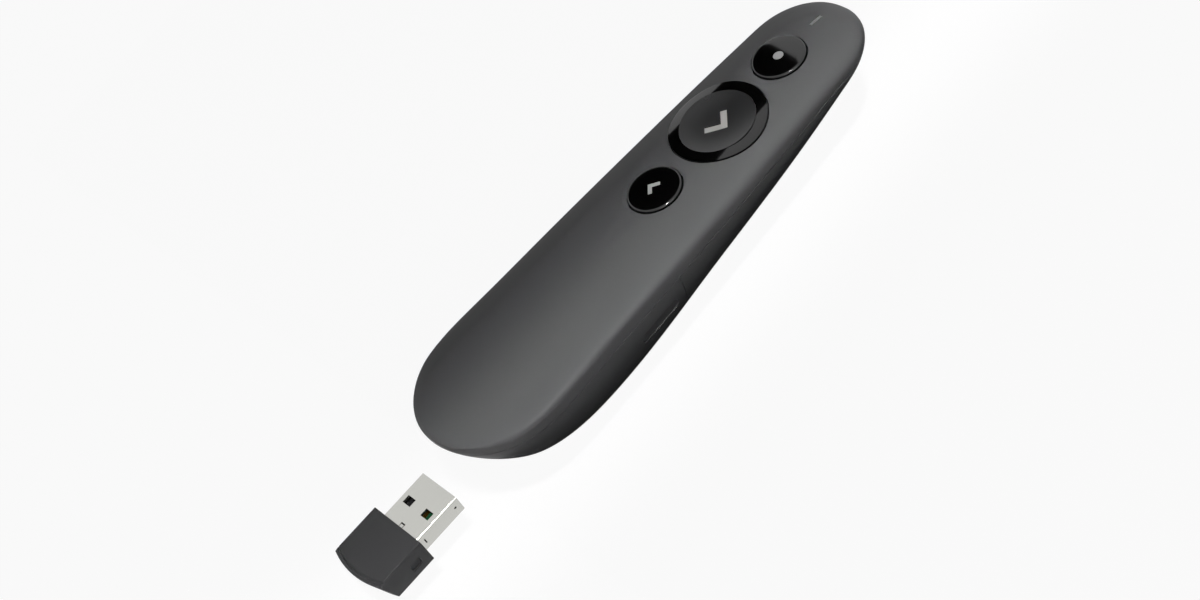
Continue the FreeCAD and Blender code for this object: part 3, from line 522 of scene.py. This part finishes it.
def receiver_body():
    """The moulded stick: leaning tail, ledge and shallow groove behind the deck, eased edges."""
    work = bmesh.new()
    loops = []
    for level in BODY_LEVELS:
        verts = [work.verts.new(p) for p in tail_outline(*level)]
        loops.append([work.edges.new(pair) for pair in zip(verts, verts[1:] + verts[:1])])
    for low, high in zip(loops, loops[1:]):
        bmesh.ops.bridge_loops(work, edges=low + high)
    bmesh.ops.contextual_create(work, geom=loops[0])
    bmesh.ops.contextual_create(work, geom=loops[-1])
    bmesh.ops.recalc_face_normals(work, faces=work.faces)
    corner = math.radians(50)
    inner = [e for e in work.edges if len(e.link_faces) == 2]
    eased = [e for e in inner if e.calc_face_angle(0) > corner]
    bmesh.ops.bevel(
        work, geom=eased, offset=BODY_EDGE * MM, offset_type="OFFSET", affect="EDGES",
        segments=3, profile=0.5, material=-1, clamp_overlap=True,
    )
    front = BODY_FRONT
    half, tall = PLUG_HALF + SEAT_GAP, PLUG_TALL + SEAT_GAP
    cutters = [
        block(-HOLLOW_HALF, HOLLOW_HALF, front - HOLLOW_BACK, front + 1, HOLLOW_LOW, HOLLOW_HIGH),
        block(-half, half, front - SEAT_BACK, front + 2, PLUG_Z - tall, PLUG_Z + tall),
        block(-20, 20, front - NOTCH_BACK, front - NOTCH_FRONT, NOTCH_LOW, NOTCH_HIGH),
    ]
    return carved(work, cutters)


def plug_shell():
    """The folded steel sleeve: rolled corners, two latch windows, stamped fingers and a dimple."""
    bottom, top = PLUG_Z - PLUG_TALL, PLUG_Z + PLUG_TALL
    work = block(-PLUG_HALF, PLUG_HALF, BODY_FRONT - PLUG_TAIL, PLUG_TIP, bottom, top)
    runs = [(e, (e.verts[0].co - e.verts[1].co).normalized()) for e in work.edges]
    bmesh.ops.bevel(
        work, geom=[e for e, run in runs if abs(run.y) > 0.9], offset=PLUG_CORNER * MM,
        offset_type="OFFSET", affect="EDGES", segments=5, profile=0.5, material=-1,
        clamp_overlap=True,
    )
    side, tall = PLUG_HALF - PLUG_SKIN, PLUG_TALL - PLUG_SKIN
    window = (PLUG_TIP - WINDOW_BACK, PLUG_TIP - WINDOW_FRONT, 5, 15)
    slit = (FINGER_Y - FINGER_SLIT, FINGER_Y + FINGER_SLIT, top - 1, top + 1)
    leg = (FINGER_Y - FINGER_LENGTH, FINGER_Y, top - 1, top + 1)
    cutters = [
        block(-side, side, BODY_FRONT - 4, PLUG_TIP + 1, PLUG_Z - tall, PLUG_Z + tall),
        block(-WINDOW_OUT, -WINDOW_IN, *window),
        block(WINDOW_IN, WINDOW_OUT, *window),
        block(-FINGER_HALF, FINGER_HALF, *slit),
        block(-LEG_OUT, -LEG_IN, *leg),
        block(LEG_IN, LEG_OUT, *leg),
    ]
    for turn in (-1, 1):
        low, high = sorted((turn * (PLUG_HALF - 1), turn * (PLUG_HALF + 1)))
        cutters.append(block(
            low, high, FINGER_Y + SIDE_SLOT_NEAR, FINGER_Y + SIDE_SLOT_FAR,
            PLUG_Z - SIDE_SLOT_DOWN, PLUG_Z + SIDE_SLOT_UP,
        ))
        dimple = bmesh.new()
        bmesh.ops.create_cone(
            dimple, cap_ends=True, segments=24, radius1=DIMPLE_RADIUS * MM,
            radius2=DIMPLE_RADIUS * MM, depth=2 * MM,
        )
        across = Matrix.Rotation(math.pi / 2, 3, "Y")
        bmesh.ops.rotate(dimple, verts=dimple.verts, matrix=across)
        centre = Vector((turn * PLUG_HALF, PLUG_TIP - DIMPLE_BACK, PLUG_Z + DIMPLE_RISE))
        bmesh.ops.translate(dimple, verts=dimple.verts, vec=centre * MM)
        cutters.append(dimple)
    return carved(work, cutters)


def window_backing(name, left, right, slot):
    """A strip of the insulator under one window."""
    strip = block(
        left, right, PLUG_TIP - BACKING_BACK, PLUG_TIP - BACKING_FRONT, BACKING_LOW, BACKING_HIGH
    )
    place_piece(name, strip, slot, "receiver")


place_piece("receiver_body", receiver_body(), "receiver_plastic", "receiver", ["receiver_housing"])
place_piece("plug_sleeve", plug_shell(), "plug_steel", "receiver", ["receiver_plug_shell"])
window_backing("window_backing_green", BACKING_IN, BACKING_OUT, "circuit_board")
window_backing("window_backing_black", -BACKING_OUT, -BACKING_IN, "switch_plastic")

SLOTS = {part["node"]: part["material_slot"] for part in frame["record"]["subparts"]}

dressed("upper_housing", "body_plastic", body_normal)
dressed("lower_housing", "body_plastic", body_normal)
dressed("battery_door", "body_plastic", body_normal)
dressed("next_button_dish", "dish_plastic", dish_normal)
dressed("next_button_mark", "mark_grey", dish_normal)
dressed("next_button_ring", "gloss_black", lambda p: body_normal(p, RING_PROUD))

DRESSED = set()
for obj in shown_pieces():
    DRESSED.update(obj.get("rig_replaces", []))
for node in sorted(frame["nodes"]):
    if node not in DRESSED:
        dressed(node, SLOTS[node])


# Stage: pale floor and sky, a softbox on the right, a strip lamp overhead and two dark flags.
def seen_directly(tree):
    """One where a ray comes from the camera, a reflection or a clear piece, else nought."""
    path = add(tree, "ShaderNodeLightPath")
    seen = add(
        tree, "ShaderNodeMath", {"operation": "ADD"},
        {0: path.outputs["Is Camera Ray"], 1: path.outputs["Is Glossy Ray"]},
    )
    seen = add(
        tree, "ShaderNodeMath", {"operation": "ADD", "use_clamp": True},
        {0: seen.outputs[0], 1: path.outputs["Is Transmission Ray"]},
    )
    return seen.outputs[0]


def stage_material(name, colour, glow):
    """Matt paper that keeps the shadows, with part of it glowing white where it is seen."""
    material, tree = blank(name)
    share = add(
        tree, "ShaderNodeMath", {"operation": "MULTIPLY", 1: glow}, {0: seen_directly(tree)}
    )
    matt = add(tree, "ShaderNodeBsdfDiffuse", {"Color": linear(colour)})
    white = add(tree, "ShaderNodeEmission", {"Color": linear("#ffffff"), "Strength": 1.0})
    mix = add(
        tree, "ShaderNodeMixShader", None,
        {0: share.outputs[0], 1: matt.outputs[0], 2: white.outputs[0]},
    )
    add(tree, "ShaderNodeOutputMaterial", None, {"Surface": mix.outputs[0]})
    return material


def card(name, centre, towards, width, height, material):
    """A flat stage panel that faces a point; places in mm, width and height in metres."""
    work = bmesh.new()
    bmesh.ops.create_grid(work, x_segments=1, y_segments=1, size=0.5)
    facing = (Vector(towards) - Vector(centre)).normalized()
    across = Vector((0, 1, 0)).cross(facing)
    if across.length < 0.1:
        across = Vector((1, 0, 0))
    across.normalize()
    up = facing.cross(across)
    turn = Matrix((across * height, up * width, facing)).transposed().to_4x4()
    place = Matrix.Translation(Vector(centre) * MM) @ turn
    bmesh.ops.transform(work, matrix=place, verts=work.verts)
    mesh = bpy.data.meshes.new(name)
    work.to_mesh(mesh)
    work.free()
    mesh.materials.append(material)
    panel = bpy.data.objects.new(name, mesh)
    bpy.context.scene.collection.objects.link(panel)
    return panel


FLOOR_Z, FLOOR_SIZE = -0.02, 4.0
paper = stage_material("paper_floor", "#f6f6f6", 0.94)
card("floor", (0, 0, FLOOR_Z), (0, 0, 100), FLOOR_SIZE, FLOOR_SIZE, paper)
flag_black, flag_tree = blank("black_flag_cloth")
flag = add(flag_tree, "ShaderNodeBsdfDiffuse", {"Color": linear("#050505")})
add(flag_tree, "ShaderNodeOutputMaterial", None, {"Surface": flag.outputs[0]})
FLAGS = [
    card("upper_flag", (-185, 107, 215), (0, 107, 26), 0.170, 0.115, flag_black),
    card("floor_flag", (-40, 65, 0.3), (-40, 65, 100), 0.20, 0.36, flag_black),
]
for panel in FLAGS:
    panel.visible_camera = False
    panel.visible_shadow = False


def lamp(name, position, aim, size, power, spread=180):
    """A rectangular lamp aimed at a point; places in mm, size in metres, spread in degrees."""
    data = bpy.data.lights.new(name, "AREA")
    data.shape = "RECTANGLE"
    data.size, data.size_y = size
    data.energy = power
    data.spread = math.radians(spread)
    light = bpy.data.objects.new(name, data)
    bpy.context.scene.collection.objects.link(light)
    light.location = Vector(position) * MM
    back = (light.location - Vector(aim) * MM).normalized()
    across = Vector((0, 1, 0)).cross(back).normalized()
    light.rotation_euler = Matrix((across, back.cross(across), back)).transposed().to_euler()
    return light


lamp("right_softbox", (400, -40, 320), (0, 25, 15), (0.22, 0.50), 0.6)
lamp("gridded_strip", (152, 28, 402), (14, 28, 26), (0.02, 0.26), 0.026, 8.0)

# The sky is white where it is seen, and a faint fill light elsewhere.
world = bpy.data.worlds.new("studio")
bpy.context.scene.world = world
world.use_nodes = True
sky = world.node_tree
sky.nodes.clear()
shown = seen_directly(sky)
fill = add(sky, "ShaderNodeBackground", {"Color": linear("#ffffff"), "Strength": 0.06})
white = add(sky, "ShaderNodeBackground", {"Color": linear("#ffffff"), "Strength": 1.0})
mix = add(
    sky, "ShaderNodeMixShader", None, {0: shown, 1: fill.outputs[0], 2: white.outputs[0]}
)
add(sky, "ShaderNodeOutputWorld", None, {"Surface": mix.outputs[0]})
bpy.context.scene.view_settings.view_transform = "Standard"

azimuth, elevation, roll = (math.radians(a) for a in (AZIMUTH, ELEVATION, ROLL))
back = Vector((
    math.sin(azimuth) * math.cos(elevation),
    -math.cos(azimuth) * math.cos(elevation),
    math.sin(elevation),
))
right = (-back).cross(Vector((0, 0, 1))).normalized()
up = right.cross(-back)
across = right * math.cos(roll) + up * math.sin(roll)
upward = up * math.cos(roll) - right * math.sin(roll)
camera_data = bpy.data.cameras.new("camera")
camera_data.lens, camera_data.sensor_width = LENS, SENSOR
camera_data.clip_start, camera_data.clip_end = 0.01, 20.0
camera = bpy.data.objects.new("camera", camera_data)
bpy.context.scene.collection.objects.link(camera)
turn = Matrix((across, upward, back)).transposed().to_4x4()
camera.matrix_world = Matrix.Translation(TARGET + back * DISTANCE) @ turn
bpy.context.scene.camera = camera
